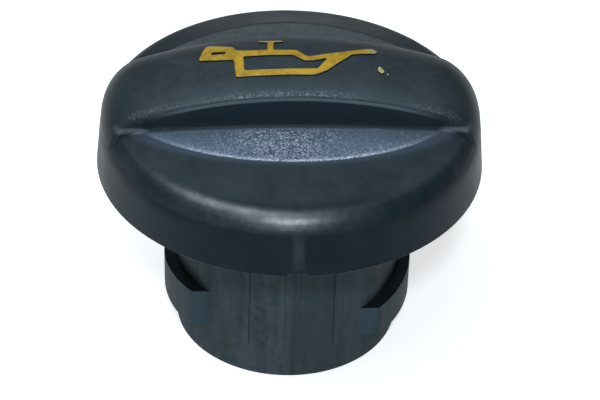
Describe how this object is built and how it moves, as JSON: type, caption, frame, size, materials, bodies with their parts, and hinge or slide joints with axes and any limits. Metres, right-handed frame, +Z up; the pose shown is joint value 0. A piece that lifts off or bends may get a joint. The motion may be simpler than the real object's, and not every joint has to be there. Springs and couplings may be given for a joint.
{
  "type": "oil filler cap",
  "caption": "Round bayonet oil filler cap with a grip bar across its domed head, finger scoops beside it, and a hollow ribbed neck with cam lugs and a sealing ring.",
  "frame": {"origin": "centre of the neck's lower end, on the axis of the neck, where the cap stands", "axes": "+Z up along the neck to the head, X along the grip bar, and the front with the notch faces -Y"},
  "size_m": [0.062, 0.0622, 0.0502],
  "materials": {
    "cap_plastic": "satin blue-black glass-filled nylon with spark-eroded grain in the finger scoops",
    "seal_rubber": "matt black rubber"
  },
  "bodies": {
    "root": {"cap_body": "cap_plastic", "sealing_ring": "seal_rubber"}
  },
  "joints": []
}
